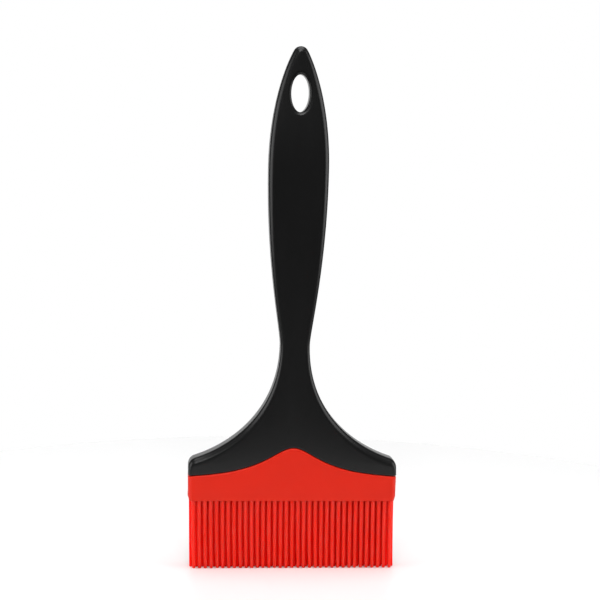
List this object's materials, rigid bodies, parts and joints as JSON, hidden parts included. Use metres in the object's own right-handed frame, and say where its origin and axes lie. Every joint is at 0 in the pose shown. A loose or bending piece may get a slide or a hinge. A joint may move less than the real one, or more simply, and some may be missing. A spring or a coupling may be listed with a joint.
{
  "type": "pastry brush",
  "caption": "Wide pastry brush: a flat waisted handle with an oval hanging hole, and a silicone head that pulls off, with rows of fine round bristles that flex.",
  "frame": {"origin": "centre of the bristle tips, on the surface that the brush stands on", "axes": "+Z from the bristle tips to the end of the handle, +X along the wide head, +Y through its thickness; the front faces -Y"},
  "size_m": [0.0888, 0.012, 0.2208],
  "materials": {
    "handle_plastic": "satin black moulded plastic",
    "core_nylon": "matte grey nylon",
    "red_silicone": "smooth satin silicone, slightly translucent"
  },
  "bodies": {
    "head": {"core_plate": "core_nylon", "silicone_sleeve": "red_silicone"},
    "handle": {"handle": "handle_plastic"},
    "row_1": {"bristle_row_1": "red_silicone"},
    "row_2": {"bristle_row_2": "red_silicone"},
    "row_3": {"bristle_row_3": "red_silicone"},
    "row_4": {"bristle_row_4": "red_silicone"},
    "row_5": {"bristle_row_5": "red_silicone"}
  },
  "joints": [
    {"name": "handle_pull", "type": "slide", "parent": "head", "child": "handle", "axis": [0, 0, 1], "range_m": [0, 0.032]},
    {"name": "row_1_bend", "type": "hinge", "parent": "head", "child": "row_1", "pos_m": [0, -0.0046, 0.02839], "axis": [1, 0, 0], "range_deg": [-40, 40], "stiffness_Nm_per_rad": 0.0035},
    {"name": "row_2_bend", "type": "hinge", "parent": "head", "child": "row_2", "pos_m": [0, -0.0023, 0.02839], "axis": [1, 0, 0], "range_deg": [-40, 40], "stiffness_Nm_per_rad": 0.0035},
    {"name": "row_3_bend", "type": "hinge", "parent": "head", "child": "row_3", "pos_m": [0, 0, 0.02839], "axis": [1, 0, 0], "range_deg": [-40, 40], "stiffness_Nm_per_rad": 0.0035},
    {"name": "row_4_bend", "type": "hinge", "parent": "head", "child": "row_4", "pos_m": [0, 0.0023, 0.02839], "axis": [1, 0, 0], "range_deg": [-40, 40], "stiffness_Nm_per_rad": 0.0035},
    {"name": "row_5_bend", "type": "hinge", "parent": "head", "child": "row_5", "pos_m": [0, 0.0046, 0.02839], "axis": [1, 0, 0], "range_deg": [-40, 40], "stiffness_Nm_per_rad": 0.0035}
  ],
  "couplings": [
    {"joint": "row_1_bend", "follows": "row_2_bend", "ratio": 1},
    {"joint": "row_3_bend", "follows": "row_2_bend", "ratio": 1},
    {"joint": "row_4_bend", "follows": "row_2_bend", "ratio": 1},
    {"joint": "row_5_bend", "follows": "row_2_bend", "ratio": 1}
  ]
}
